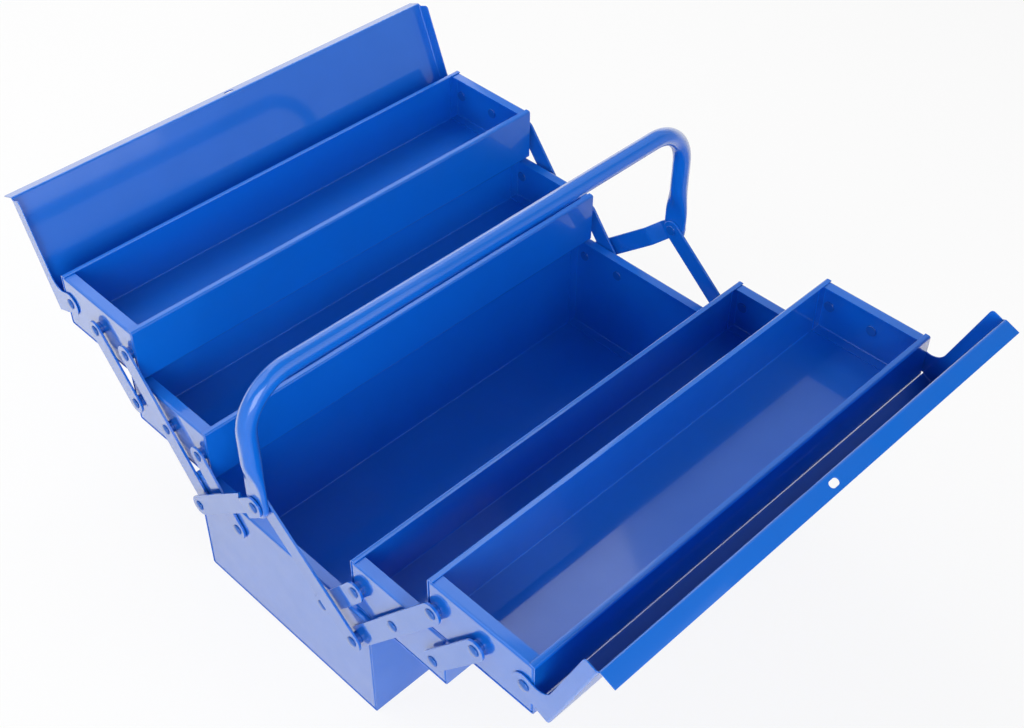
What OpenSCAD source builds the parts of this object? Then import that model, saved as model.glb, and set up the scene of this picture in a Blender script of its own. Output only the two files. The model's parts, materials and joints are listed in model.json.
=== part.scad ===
// Cantilever tool box with four swing-out trays and two lids, shown open.
// Millimetres. The origin is the middle of the underside of the base, +Z up.
// X runs along the box and the trays swing out along Y. Every side piece is
// drawn on the left (+Y) and every end piece at the far end (+X); the right
// and near ones are their mirror images.

/* [Base box] */
// Length of the base over its end plates
base_l = 430; // [340:1:600]
// Width of the base
base_w = 203; // [196:1:240]
// Height of the base
base_h = 109; // [85:1:160]
// Width of the folded rims along the long walls
side_lip = 5; // [3:0.5:9]
// Depth of the flange round the end plates
end_flange = 9.5; // [5:0.5:14]

/* [Trays] */
// Height of each tray
tray_h = 49.5; // [46:0.5:65]
// Space between the left and right trays when they are shut
tray_gap = 4.6; // [3:0.2:10]
// How far the shut trays lie inside the outer face of the base's long walls
tray_side_inset = 3.2; // [1:0.2:5]
// How far the tray ends lie inside the ends of the base
tray_end_inset = 3; // [2:0.5:6]
// Free height between a tray and the rim below it
stack_gap = 1; // [0.4:0.1:4]

/* [Swing arms] */
// Distance of a tray's outermost pivots from the face of its long wall
wall_out = 8; // [7:0.5:11]
// Depth of each row of pivots below the rim above it
row_drop = 24.5; // [18:0.5:30]
// Width of the arms
arm_w = 17; // [13:0.5:19]
// Thickness of the arms
arm_t = 2; // [1.2:0.1:3]
// Free space between the arms and the ends of the base
arm_gap = 0.5; // [0.2:0.1:2]

/* [Lids] */
// Angle that a lid swings through, from shut to resting on its tray
lid_open = 112; // [100:1:125]
// Clearance between the lid's skirt and the tray's outer wall, shut
lid_side_gap = 1; // [0.5:0.1:3]
// Clearance between the swinging lid and the corner of the tray's rim
lid_swing_gap = 0.3; // [0.2:0.1:2]
// Clearance between the lid's cheeks and the ends of the tray
lid_end_gap = 0.4; // [0.2:0.1:1]
// Space between the two lids when they are shut
lid_meet_gap = 2; // [1:0.2:6]
// Space left between the skirt's edge and the tray wall it rests on, open
lid_stop_gap = 0.4; // [0.2:0.1:1]
// Depth of the cheeks below the top of the lid
cheek_d = 11.7; // [8:0.1:14]
// Radius of the cheek's ear round the lid's pivot
ear_r = 10; // [8:0.5:12]
// Radius of the hollow curve from the ear to the cheek
ear_sweep_r = 12; // [6:0.5:13]
// Length of the cheek that is cut away beside the lid's free edge
cheek_setback = 2.5; // [1:0.5:8]
// Height of the turned-up flange along the lid's free edge
upstand_h = 13; // [9:0.5:18]
// Length of the padlock slot in that flange
slot_l = 9; // [6:0.5:16]
// Height of the padlock slot
slot_h = 5.5; // [3:0.5:7]

/* [Handle] */
// Outer diameter of the handle tube
tube_d = 15; // [14:0.5:18]
// Wall of the handle tube
tube_wall = 1.5; // [1:0.1:3]
// Height of the handle's pivots above the underside of the base
apex_z = 161; // [155:1:168]
// Height of the middle of the grip above the handle's pivots
grip_rise = 109.5; // [104:0.5:130]
// Radius of the bends, along the middle of the tube
tube_bend_r = 40; // [30:1:46]
// Thickness of the flattened ends of the tube
flat_t = 5; // [4:0.1:7]
// Width of the flattened ends of the tube
flat_w = 22; // [18:0.5:26]
// Length of the flat above the pivot
flat_rise = 15; // [13:0.5:18]
// Length over which the tube goes from flat to round
flat_taper = 30; // [24:1:36]

/* [Handle links] */
// Width of the links that carry the handle
link_w = 17; // [14:0.5:20]
// Thickness of the links
link_t = 2; // [1.5:0.1:3]
// Clear space between the arms and the links
link_gap = 3.9; // [3:0.1:6]
// Free space between the links and the handle's flat ends
link_play = 0.4; // [0.2:0.1:1]
// Distance from the handle's pivot to the outer link's joggle
joggle_start = 16; // [14:1:24]
// Length of the joggle along the outer link
joggle_l = 16; // [12:1:24]

/* [Sheet and rivets] */
// Thickness of the folded sheet
sheet_t = 1; // [0.7:0.1:1.4]
// Outer radius of the bends in the sheet
fold_r = 2; // [1.6:0.1:2.5]
// Outer radius of the pressed edge round the face of an end plate
press_r = 2; // [1.4:0.1:3]
// Gap at the spot-welded joints between sheets
weld_gap = 0.05; // [0.02:0.01:0.2]
// Diameter of the rivets' shanks
rivet_d = 5; // [4:0.5:6]
// Diameter of the rivet heads
head_d = 9; // [8:0.5:9.5]
// Height of the domed rivet heads
head_h = 1.6; // [1:0.1:2]
// Height of the flat heads inside the box and the trays
inner_head_h = 1; // [0.6:0.1:1.6]
// Diameter of the rivet shoulders and of the link spacers
shoulder_d = 10; // [8:0.5:12]
// Radial clearance of a rivet in its holes
pin_fit = 0.05; // [0.02:0.01:0.1]
// End play of the pieces held by a rivet
play = 0.15; // [0.1:0.05:0.3]

/* [Hidden] */
$fn = 48;

LEFT = 1;
RIGHT = -1;
FAR = 1;
NEAR = -1;
BASE = 0;
LOWER = BASE + 1;
UPPER = LOWER + 1;
cut = 1; // extra length of a cutter past the face it opens

paint = [0.06, 0.30, 0.82];
paint_arm = [0.20, 0.42, 0.88];
paint_rivet = [0.14, 0.34, 0.72];

// Trays: their size follows from the base. The pivots of a tray stand one pitch
// apart, and each stage swings out by one pitch, so that the pivots line up.
tray_l = base_l - 2 * tray_end_inset;
tray_w = (base_w - tray_gap) / 2 - tray_side_inset;
tray_mid = (tray_gap + tray_w) / 2;
pivot_pitch = tray_w / 2 - wall_out;
reach = pivot_pitch;
rise = tray_h + stack_gap;

function box_l(stage) = stage == BASE ? base_l : tray_l;
function box_w(stage) = stage == BASE ? base_w : tray_w;
function box_h(stage) = stage == BASE ? base_h : tray_h;
function box_y(stage) = stage == BASE ? 0 : tray_mid + 2 * stage * reach;
function box_z(stage) = stage == BASE ? 0 : base_h + stack_gap + (stage - 1) * rise;
function row_z(stage) = base_h - row_drop + stage * rise;

// Pivots as [y, z] with the trays swung out
base_outer = [tray_mid + reach, row_z(BASE)];
base_inner = base_outer - [pivot_pitch, 0];
lower_mid = base_outer + [reach, rise];
lower_inner = base_inner + [reach, rise];
lower_outer = lower_mid + [pivot_pitch, 0];
upper_inner = lower_mid + [reach, rise];
upper_mid = lower_outer + [reach, rise];
lid_pivot = upper_mid + [pivot_pitch, 0];
apex = [0, apex_z];

// Layers along X, outwards from an end of the base
base_end = base_l / 2;
tray_end = tray_l / 2;
arm_x = base_end + arm_gap;
arm_out = arm_x + arm_t;
link_x = arm_out + link_gap;
link_out = link_x + link_t;
flat_x = link_out + link_play;
outer_link_x = flat_x + flat_t + link_play;
outer_link_out = outer_link_x + link_t;
leg_x = flat_x + flat_t / 2;

// Lid, in its shut place with its pivot at [0, 0]
lid_in = norm([wall_out, row_drop]) + lid_swing_gap;
lid_top = lid_in + sheet_t;
lid_out = wall_out + lid_side_gap + sheet_t;
lid_free = lid_meet_gap / 2 - (tray_mid + pivot_pitch);
skirt_end = (wall_out + lid_stop_gap - lid_out * cos(lid_open)) / sin(lid_open);
cheek_x = tray_end + lid_end_gap;
lid_end = cheek_x + sheet_t;
cheek_tip_r = 3;

// ---------------------------------------------------------------- helpers

module at_side(side) mirror([0, side == RIGHT ? 1 : 0, 0]) children();

module at_end(end) mirror([end == NEAR ? 1 : 0, 0, 0]) children();

module both_ends() {
  for (end = [NEAR, FAR]) at_end(end) children();
}

// Draws a [y, z] outline and gives it a length along X from x
module along_x(x, length) {
  translate([x, 0, 0]) rotate([90, 0, 90]) linear_extrude(length) children();
}

// A rectangle with round corners, standing on its middle
module rounded_box(w, h, r) {
  translate([-w / 2, r]) square([w, h - 2 * r]);
  translate([r - w / 2, 0]) square([w - 2 * r, h]);
  for (x = [r - w / 2, w / 2 - r], y = [r, h - r]) translate([x, y]) circle(r);
}

// Two legs of sheet, a along X and b along Y, bent round their outer corner
module bent_corner(a, b) {
  difference() {
    union() {
      intersection() {
        translate([fold_r, fold_r]) circle(fold_r);
        square(fold_r);
      }
      translate([fold_r, 0]) square([a - fold_r, sheet_t]);
      translate([0, fold_r]) square([sheet_t, b - fold_r]);
    }
    translate([fold_r, fold_r]) circle(fold_r - sheet_t);
  }
}

module pin_holes(points) {
  for (p = points) translate(p) circle(rivet_d / 2 + pin_fit);
}

// A strap with round ends that runs from the first of the [y, z] points to the
// last, with a hole at each, lying on [0, 0] and pointing along the first axis
module strap_outline(points, w) {
  last = points[len(points) - 1];
  difference() {
    union() {
      circle(d = w);
      translate([norm(last - points[0]), 0]) circle(d = w);
      translate([0, -w / 2]) square([norm(last - points[0]), w]);
    }
    pin_holes([for (p = points) [norm(p - points[0]), 0]]);
  }
}

// Turns and moves such a strap on to its points
module on_points(points) {
  span = points[len(points) - 1] - points[0];
  translate([0, points[0][0], points[0][1]]) rotate([atan2(span[1], span[0]), 0, 0]) children();
}

// A domed head standing on [0, 0], along the axis
module dome() {
  sphere_r = (pow(head_d / 2, 2) + pow(head_h, 2)) / (2 * head_h);
  rotate_extrude() intersection() {
    translate([0, head_h - sphere_r]) circle(sphere_r);
    square([head_d / 2, head_h]);
  }
}

// A rivet on the point p: a flat head up to x0, a shank to x1 and a domed head
module rivet(p, x0, x1) {
  translate([x0, p[0], p[1]]) rotate([0, 90, 0]) {
    translate([0, 0, -inner_head_h]) cylinder(h = inner_head_h, d = head_d);
    cylinder(h = x1 - x0, d = rivet_d);
    translate([0, 0, x1 - x0]) dome();
  }
}

// A shoulder on a rivet, which keeps an arm off the sheet
module shoulder(p, x0, x1) {
  translate([x0, p[0], p[1]]) rotate([0, 90, 0]) cylinder(h = x1 - x0, d = shoulder_d);
}

// ---------------------------------------------------- base and tray bodies

// One sheet folded into a floor, two long walls and their turned-in rims
module channel(stage) {
  w = box_w(stage);
  h = box_h(stage);
  color(paint) translate([0, box_y(stage), box_z(stage)])
    along_x(-box_l(stage) / 2, box_l(stage)) difference() {
      rounded_box(w, h, fold_r);
      translate([0, sheet_t]) rounded_box(w - 2 * sheet_t, h - 2 * sheet_t, fold_r - sheet_t);
      translate([side_lip - w / 2, h / 2]) square([w - 2 * side_lip, h]);
    }
}

// The outline of a pan of depth d and width w seen from its side: it opens at
// [0, 0] and the edge round its floor, at [d, 0], has the radius r
module pan_outline(d, w, r) {
  translate([0, -w / 2]) square([d - r, w]);
  translate([0, r - w / 2]) square([d, w - 2 * r]);
  for (y = [r - w / 2, w / 2 - r]) translate([d - r, y]) circle(r);
}

// A pan that stands on [0, 0] with its floor at x, with the radius r round its
// floor and corner_r at its corners
module pan(x, d, w, h, r, corner_r) {
  intersection() {
    along_x(x - d, d) rounded_box(w, h, corner_r);
    translate([x - d, 0, 0]) linear_extrude(h) pan_outline(d, w, r);
    translate([x - d, w / 2, h / 2]) rotate([90, 0, 0]) linear_extrude(w) pan_outline(d, h, r);
  }
}

// A pressed end plate with a flange all round, which slides into the end of
// the channel, under its rims, and is spot-welded there
module end_plate(stage, holes) {
  x = box_l(stage) / 2;
  inset = sheet_t + weld_gap;
  w = box_w(stage) - 2 * inset;
  h = box_h(stage) - 2 * inset;
  corner_r = fold_r - sheet_t;
  color(paint) difference() {
    translate([0, box_y(stage), box_z(stage) + inset]) difference() {
      pan(x, end_flange, w, h, press_r, corner_r);
      translate([0, 0, sheet_t]) pan(x - sheet_t, end_flange, w - 2 * sheet_t, h - 2 * sheet_t,
        press_r - sheet_t, corner_r / 2);
    }
    along_x(x - 2 * sheet_t, 3 * sheet_t) pin_holes(holes);
  }
}

base_holes = [base_inner, base_outer, [-base_inner[0], base_inner[1]], [-base_outer[0], base_outer[1]]];
lower_holes = [lower_inner, lower_mid, lower_outer];
upper_holes = [upper_inner, upper_mid, lid_pivot];

module base_channel() channel(BASE);
module base_end(end) at_end(end) end_plate(BASE, base_holes);
module lower_channel(side) at_side(side) channel(LOWER);
module lower_end(side, end) at_side(side) at_end(end) end_plate(LOWER, lower_holes);
module upper_channel(side) at_side(side) channel(UPPER);
module upper_end(side, end) at_side(side) at_end(end) end_plate(UPPER, upper_holes);

// ------------------------------------------------------------------- lids

// Skirt, top and turned-up flange, folded from one sheet
module lid_section() {
  width = lid_out - lid_free;
  translate([lid_out, lid_top]) rotate(180) bent_corner(width - fold_r, lid_top - skirt_end);
  translate([lid_free, lid_in]) bent_corner(width - fold_r, upstand_h + sheet_t);
}

// A cheek: a shallow strip under the top that widens in a hollow curve to an
// ear round the pivot
module cheek_outline() {
  strip_start = lid_free + cheek_setback;
  strip_low = lid_top - cheek_d;
  sweep = [-ear_r - ear_sweep_r, strip_low - ear_sweep_r];
  difference() {
    union() {
      circle(ear_r);
      translate([-ear_r, 0]) square([ear_r + lid_out - fold_r, lid_top]);
      translate([-ear_r, 0]) square([ear_r + lid_out, lid_top - fold_r]);
      translate([lid_out - fold_r, lid_top - fold_r]) circle(fold_r);
      translate([strip_start + cheek_tip_r, strip_low])
        square([lid_out - fold_r - strip_start - cheek_tip_r, cheek_d]);
      translate([strip_start, strip_low + cheek_tip_r])
        square([cheek_tip_r, cheek_d - cheek_tip_r]);
      translate([strip_start + cheek_tip_r, strip_low + cheek_tip_r]) circle(cheek_tip_r);
      translate(sweep) square([ear_sweep_r + cut, ear_sweep_r + cut]);
    }
    translate(sweep) circle(ear_sweep_r);
    pin_holes([[0, 0]]);
  }
}

module lid(side) {
  color(paint) at_side(side) translate([0, lid_pivot[0], lid_pivot[1]]) rotate([-lid_open, 0, 0]) {
    difference() {
      along_x(-lid_end, 2 * lid_end) lid_section();
      translate([0, lid_free, lid_top + upstand_h / 2]) rotate([90, 0, 0])
        linear_extrude(2 * cut + 2 * sheet_t, center = true) {
          square([slot_l - slot_h, slot_h], center = true);
          for (x = [-1, 1]) translate([x * (slot_l - slot_h) / 2, 0]) circle(d = slot_h);
        }
    }
    both_ends() along_x(cheek_x, sheet_t) cheek_outline();
  }
}

// ------------------------------------------------------------------- arms

module arm(side, end, points) {
  color(paint_arm) at_side(side) at_end(end) on_points(points)
    along_x(arm_x, arm_t) strap_outline(points, arm_w);
}

module long_arm(side, end) arm(side, end, [base_outer, lower_mid, upper_inner]);
module lower_arm(side, end) arm(side, end, [base_inner, lower_inner]);
module upper_arm(side, end) arm(side, end, [lower_outer, upper_mid]);

// ----------------------------------------------------------------- handle

// The oval outline of the tube's flattened ends, less an inset all round
module flat_outline(inset) {
  w = flat_w - 2 * inset;
  t = flat_t - 2 * inset;
  square([t, w - t], center = true);
  for (y = [-1, 1]) translate([0, y * (w - t) / 2]) circle(d = t, $fn = 32);
}

// The tube from one taper to the other, as a solid of the given radius
module tube_body(r) {
  bend_x = leg_x - tube_bend_r;
  bend_z = apex_z + grip_rise - tube_bend_r;
  taper_top = apex_z + flat_rise + flat_taper;
  translate([-bend_x, 0, apex_z + grip_rise]) rotate([0, 90, 0]) cylinder(h = 2 * bend_x, r = r);
  both_ends() {
    translate([bend_x, 0, bend_z]) rotate([90, 0, 0])
      rotate_extrude(angle = 90) translate([tube_bend_r, 0]) circle(r);
    translate([leg_x, 0, taper_top]) cylinder(h = bend_z - taper_top, r = r);
  }
}

// The stretch where the tube is pressed from round to flat
module tube_taper(inset) {
  skin = 0.01;
  both_ends() translate([leg_x, 0, apex_z + flat_rise]) hull() {
    translate([0, 0, flat_taper]) cylinder(h = skin, r = tube_d / 2 - inset, $fn = 32);
    linear_extrude(skin) flat_outline(inset);
  }
}

module handle_tube() {
  color(paint) difference() {
    union() {
      tube_body(tube_d / 2);
      tube_taper(0);
      both_ends() {
        translate([leg_x, 0, apex_z]) linear_extrude(flat_rise) flat_outline(0);
        along_x(flat_x, flat_t) translate(apex) circle(d = flat_w);
      }
    }
    tube_body(tube_d / 2 - tube_wall);
    tube_taper(tube_wall);
    both_ends() along_x(flat_x - cut, flat_t + 2 * cut) pin_holes([apex]);
  }
}

// The right link is flat. The left one lies outside the handle's flat end
// and steps in past it, so that both lower ends lie on the same spacers.
module link_right(end) {
  points = [apex, base_outer];
  color(paint_arm) at_side(RIGHT) at_end(end) on_points(points)
    along_x(link_x, link_t) strap_outline(points, link_w);
}

module link_left(end) {
  points = [apex, base_outer];
  s0 = joggle_start;
  s1 = joggle_start + joggle_l;
  s2 = norm(base_outer - apex) + link_w;
  color(paint_arm) at_side(LEFT) at_end(end) on_points(points) intersection() {
    along_x(link_x - cut, outer_link_out - link_x + 2 * cut) strap_outline(points, link_w);
    linear_extrude(2 * link_w, center = true) polygon([
      [outer_link_x, -link_w], [outer_link_out, -link_w], [outer_link_out, s0],
      [link_out, s1], [link_out, s2], [link_x, s2],
      [link_x, s1 - link_t / 2], [outer_link_x, s0 - link_t / 2]
    ]);
  }
}

// ----------------------------------------------------------------- rivets

module lower_rivets(side) {
  color(paint_rivet) at_side(side) both_ends() for (p = lower_holes) {
    rivet(p, tray_end - sheet_t, arm_out + play);
    shoulder(p, tray_end, arm_x - play);
  }
}

module upper_rivets(side) {
  color(paint_rivet) at_side(side) both_ends() for (p = [upper_inner, upper_mid]) {
    rivet(p, tray_end - sheet_t, arm_out + play);
    shoulder(p, tray_end, arm_x - play);
  }
}

module lid_rivets(side) {
  color(paint_rivet) at_side(side) both_ends() rivet(lid_pivot, tray_end - sheet_t, lid_end + play);
}

module base_rivets() {
  color(paint_rivet) for (side = [LEFT, RIGHT]) at_side(side) both_ends()
    rivet(base_inner, base_end - sheet_t, arm_out + play);
}

module link_rivets() {
  color(paint_rivet) for (side = [LEFT, RIGHT]) at_side(side) both_ends()
    rivet(base_outer, base_end - sheet_t, link_out + play);
}

module link_spacers() {
  color(paint_rivet) for (side = [LEFT, RIGHT]) at_side(side) both_ends()
    along_x(arm_out + play, link_gap - 2 * play) difference() {
      translate(base_outer) circle(d = shoulder_d);
      pin_holes([base_outer]);
    }
}

module handle_rivets() {
  color(paint_rivet) both_ends() rivet(apex, link_x - play, outer_link_out + play);
}

// ------------------------------------------------------------------ nodes

base_channel();
base_end(NEAR);  // base_end_near
base_end(FAR);  // base_end_far
lower_channel(LEFT);  // lower_left_channel
lower_end(LEFT, NEAR);  // lower_left_end_near
lower_end(LEFT, FAR);  // lower_left_end_far
lower_channel(RIGHT);  // lower_right_channel
lower_end(RIGHT, NEAR);  // lower_right_end_near
lower_end(RIGHT, FAR);  // lower_right_end_far
upper_channel(LEFT);  // upper_left_channel
upper_end(LEFT, NEAR);  // upper_left_end_near
upper_end(LEFT, FAR);  // upper_left_end_far
upper_channel(RIGHT);  // upper_right_channel
upper_end(RIGHT, NEAR);  // upper_right_end_near
upper_end(RIGHT, FAR);  // upper_right_end_far
lid(LEFT);  // lid_left
lid(RIGHT);  // lid_right
long_arm(LEFT, NEAR);  // long_arm_left_near
long_arm(LEFT, FAR);  // long_arm_left_far
long_arm(RIGHT, NEAR);  // long_arm_right_near
long_arm(RIGHT, FAR);  // long_arm_right_far
lower_arm(LEFT, NEAR);  // lower_arm_left_near
lower_arm(LEFT, FAR);  // lower_arm_left_far
lower_arm(RIGHT, NEAR);  // lower_arm_right_near
lower_arm(RIGHT, FAR);  // lower_arm_right_far
upper_arm(LEFT, NEAR);  // upper_arm_left_near
upper_arm(LEFT, FAR);  // upper_arm_left_far
upper_arm(RIGHT, NEAR);  // upper_arm_right_near
upper_arm(RIGHT, FAR);  // upper_arm_right_far
handle_tube();
handle_rivets();
link_left(NEAR);  // link_left_near
link_left(FAR);  // link_left_far
link_right(NEAR);  // link_right_near
link_right(FAR);  // link_right_far
link_spacers();
link_rivets();
base_rivets();
lower_rivets(LEFT);  // lower_left_rivets
lower_rivets(RIGHT);  // lower_right_rivets
upper_rivets(LEFT);  // upper_left_rivets
upper_rivets(RIGHT);  // upper_right_rivets
lid_rivets(LEFT);  // lid_left_rivets
lid_rivets(RIGHT);  // lid_right_rivets
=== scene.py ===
"""Dresses the frame of an open cantilever tool box: folded sheet, riveted arms, a bent tube handle and
glossy enamel. Lengths are in metres. X runs along the box and the trays swing out along Y."""

import json
import math

import bmesh
import bpy
from bpy.props import FloatProperty, FloatVectorProperty, PointerProperty
from mathutils import Matrix, Vector

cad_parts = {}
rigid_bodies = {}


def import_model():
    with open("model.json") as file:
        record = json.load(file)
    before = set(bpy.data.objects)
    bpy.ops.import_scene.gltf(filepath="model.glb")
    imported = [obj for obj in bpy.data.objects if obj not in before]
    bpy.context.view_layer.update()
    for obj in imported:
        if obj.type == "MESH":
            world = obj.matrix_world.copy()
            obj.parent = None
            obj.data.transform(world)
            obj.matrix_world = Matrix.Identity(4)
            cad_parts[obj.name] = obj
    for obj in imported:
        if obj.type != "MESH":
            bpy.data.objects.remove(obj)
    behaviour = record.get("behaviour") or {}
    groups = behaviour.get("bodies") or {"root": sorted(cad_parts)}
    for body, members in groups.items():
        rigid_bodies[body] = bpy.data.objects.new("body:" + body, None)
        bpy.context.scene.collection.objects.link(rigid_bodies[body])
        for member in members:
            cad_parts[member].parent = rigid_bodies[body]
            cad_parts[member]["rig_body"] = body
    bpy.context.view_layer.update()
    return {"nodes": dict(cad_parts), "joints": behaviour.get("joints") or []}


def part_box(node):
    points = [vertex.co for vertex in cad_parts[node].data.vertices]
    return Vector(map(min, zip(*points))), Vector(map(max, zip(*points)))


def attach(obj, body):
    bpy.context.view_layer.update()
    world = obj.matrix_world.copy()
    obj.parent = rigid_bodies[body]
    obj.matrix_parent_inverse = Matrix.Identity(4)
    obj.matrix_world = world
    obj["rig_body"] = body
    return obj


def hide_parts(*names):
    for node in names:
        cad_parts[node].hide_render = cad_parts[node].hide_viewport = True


bl_info = {
    "name": "Cantilever Tool Box",
    "version": (1, 0, 0),
    "blender": (4, 5, 0),
    "location": "View3D > Sidebar > Tool Box",
    "description": "Builds the painted sheet-steel pieces of an open cantilever tool box",
    "category": "Object",
}

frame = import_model()

SIDES = {"left": 1, "right": -1}
ENDS = {"near": -1, "far": 1}
ALONG = Vector((1, 0, 0))
ACROSS = Vector((0, 1, 0))
UP = Vector((0, 0, 1))
HALF_TURN = Matrix.Rotation(math.pi, 4, "Z")
QUARTER = math.pi / 2
TOUCH = 1e-5
MM = 0.001

# Share of a face's normal along an axis from which the face counts as facing that way
FACING = 0.5

# How finely the round forms are drawn
FOLD_STEPS = 5
JOGGLE_STEPS = 4
EDGE_STEPS = 2
STRAP_EDGE_STEPS = 3
HOLE_SIDES = 40
STRAP_SIDES = 48
EAR_STEPS = 20
HOLLOW_STEPS = 10
TIP_STEPS = 5
TUBE_SIDES = 32
BEND_STEPS = 18
TAPER_STEPS = 10
TUBE_END_TURNS = [math.radians(turn) for turn in (0, 15, 30, 45, 60, 75, 82)]
RIVET_SIDES = 32
DOME_STEPS = 8

# The least turn between two faces at which the edge between them counts as a fold, as cut or as sharp
FOLD_TURN = 1
CUT_TURN = math.radians(50)
SHARP_TUBE = math.radians(40)
SHARP_RIVET = math.radians(35)

# The softened rims and domes of turned pieces, and the length of the drill through arms and links
SOFT_RIM = 0.25 * MM
DOME_BRIM = 0.2 * MM
STRAP_DRILL = 8 * MM

# Share of a quarter turn of the round tube that goes into the rounded edge of its flat
FLAT_EDGE_SHARE = 0.45

# Scale and detail of the noises in the enamel, their depths and the ranges that they are mapped to
WAVE_NOISE = (11, 1.5)
PEEL_NOISE = (420, 2)
DRIFT_NOISE = (28, 5)
WAVE_DEPTH = 20 * MM
PEEL_DEPTH = 0.4 * MM
DRIFT_IN_GLOSS = (0.35, 0.7)
GLOSS_DRIFT = (0.85, 1.2)
DRIFT_IN_COLOUR = (0.3, 0.75)
COLOUR_DRIFT = (0.0, 0.25)
DEEP_SHARE = 0.8

# The enamel's gloss, which grows from a faint one on faces seen straight on
SLANTS = (0.46, 0.67)
GLOSS_SHARES = (0.06, 1.0)
BODY_IOR = 1.36
GLOSS_IOR = 5.0

# Distances over which the gloss sees the floor turn white, and slants of view over which the backdrop ends
FLOOR_GLOSS_REACH = (0.4, 1.2)
BACKDROP_TOP = (0.2, 0.6)
WHITE = (1, 1, 1, 1)

# Width of the camera's film in millimetres
FILM_WIDTH = 36


# ------------------------------------------------------------------ places from the frame


def pivot(joint):
    """Where a joint turns, in the frame's middle plane."""
    return Vector(next(j["pos_m"] for j in frame["joints"] if j["name"] == joint))


def upper_limit(joint):
    """How far a joint turns from rest, in radians."""
    return math.radians(next(j["range_deg"][1] for j in frame["joints"] if j["name"] == joint))


def left_pivots():
    """The pivots on the left side by name. One stage up is one tray further out."""
    base_outer = pivot("trays_left_swing")
    base_inner = pivot("lower_arms_left_swing")
    lower_mid = pivot("lower_tray_left_level")
    lower_outer = pivot("upper_arms_left_swing")
    upper_inner = pivot("upper_tray_left_level")
    return {
        "apex": pivot("handle_tilt"),
        "base_inner": base_inner,
        "base_outer": base_outer,
        "lower_inner": base_inner + lower_mid - base_outer,
        "lower_mid": lower_mid,
        "lower_outer": lower_outer,
        "upper_inner": upper_inner,
        "upper_mid": lower_outer + upper_inner - lower_mid,
        "lid": pivot("lid_left_swing"),
    }


def side_points(way, *names):
    """The named pivots, on the left side for a way of 1 and on the right for -1."""
    pivots = left_pivots()
    return [Vector((0, way * pivots[name].y, pivots[name].z)) for name in names]


def paired_points(name):
    """A pivot's two places, left and right."""
    return [point for way in SIDES.values() for point in side_points(way, name)]


# ------------------------------------------------------------------ settings


def length(name, description, default):
    """A setting in metres."""
    return FloatProperty(name=name, description=description, default=default, min=0, unit="LENGTH")


def colour(name, description, default):
    """A setting of linear red, green and blue."""
    return FloatVectorProperty(
        name=name, description=description, default=default, subtype="COLOR", min=0, max=1
    )


def factor(name, description, default):
    """A setting between 0 and 1."""
    return FloatProperty(name=name, description=description, default=default, min=0, max=1)


def power(name, description, default):
    """A setting in watts."""
    return FloatProperty(name=name, description=description, default=default, min=0, unit="POWER")


def place_of(name, description, default):
    """A setting of a place, in metres."""
    return FloatVectorProperty(name=name, description=description, default=default, subtype="XYZ")


class SheetSettings(bpy.types.PropertyGroup):
    """Sizes of the folded sheet"""

    thickness: length("Thickness", "Thickness of the sheet", 1 * MM)
    fold: length("Fold radius", "Outer radius of the folds in the sheet", 2 * MM)
    rim: length("Rim width", "Width of the rims turned in along the long walls", 5 * MM)
    press: length("Press radius", "Outer radius of the pressed edge round the face of an end plate", 2 * MM)
    edge: length("Edge rounding", "Rounding of the cut edges under the enamel", 0.25 * MM)


class LidSettings(bpy.types.PropertyGroup):
    """Sizes and clearances of the lids"""

    swing_gap: length("Swing gap", "Clearance between the lid and the corner of the rim", 0.3 * MM)
    side_gap: length("Side gap", "Clearance between the skirt and the tray's wall", 1 * MM)
    end_gap: length("End gap", "Clearance between the cheeks and the ends of the tray", 0.4 * MM)
    meet_gap: length("Meeting gap", "Space between the two lids when they are shut", 2 * MM)
    stop_gap: length("Stop gap", "Space between the skirt's edge and the wall it rests on", 0.4 * MM)
    cheek: length("Cheek depth", "Depth of the cheeks below the top of the lid", 11.7 * MM)
    ear: length("Ear radius", "Radius of the ear round the lid's pivot", 10 * MM)
    sweep: length("Sweep radius", "Radius of the hollow curve from the ear to the cheek", 12 * MM)
    setback: length("Cheek setback", "Length of cheek cut away beside the free edge", 2.5 * MM)
    tip: length("Cheek tip radius", "Radius of the corner at the cheek's end", 3 * MM)
    upstand: length("Upstand height", "Height of the flange turned up along the free edge", 13 * MM)
    slot_length: length("Slot length", "Length of the padlock slot", 9 * MM)
    slot_height: length("Slot height", "Height of the padlock slot", 5.5 * MM)


class StrapSettings(bpy.types.PropertyGroup):
    """Sizes of the swing arms and of the handle's links"""

    width: length("Width", "Width of the arms and links", 17 * MM)
    edge: length("Edge rounding", "Rounding of the punched edges under the enamel", 0.4 * MM)
    joggle_start: length("Joggle start", "From the handle's pivot to the joggle", 16 * MM)
    joggle: length("Joggle length", "Length of the joggle along the outer link", 16 * MM)
    bend: length("Joggle bend", "Radius of the bends in the joggle", 1.5 * MM)


class RivetSettings(bpy.types.PropertyGroup):
    """Sizes of the rivets"""

    shank: length("Shank diameter", "Diameter of the shanks", 5 * MM)
    fit: length("Fit", "Radial clearance of a shank in its hole", 0.05 * MM)
    head: length("Head diameter", "Diameter of the heads", 9 * MM)
    dome: length("Dome height", "Height of the domed heads", 1.6 * MM)
    tail: length("Tail height", "Height of the flat heads inside the box and the trays", 1 * MM)
    shoulder: length("Shoulder diameter", "Diameter of the shoulders and spacers", 10 * MM)
    play: length("Play", "End play of the pieces that a rivet holds", 0.15 * MM)


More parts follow.
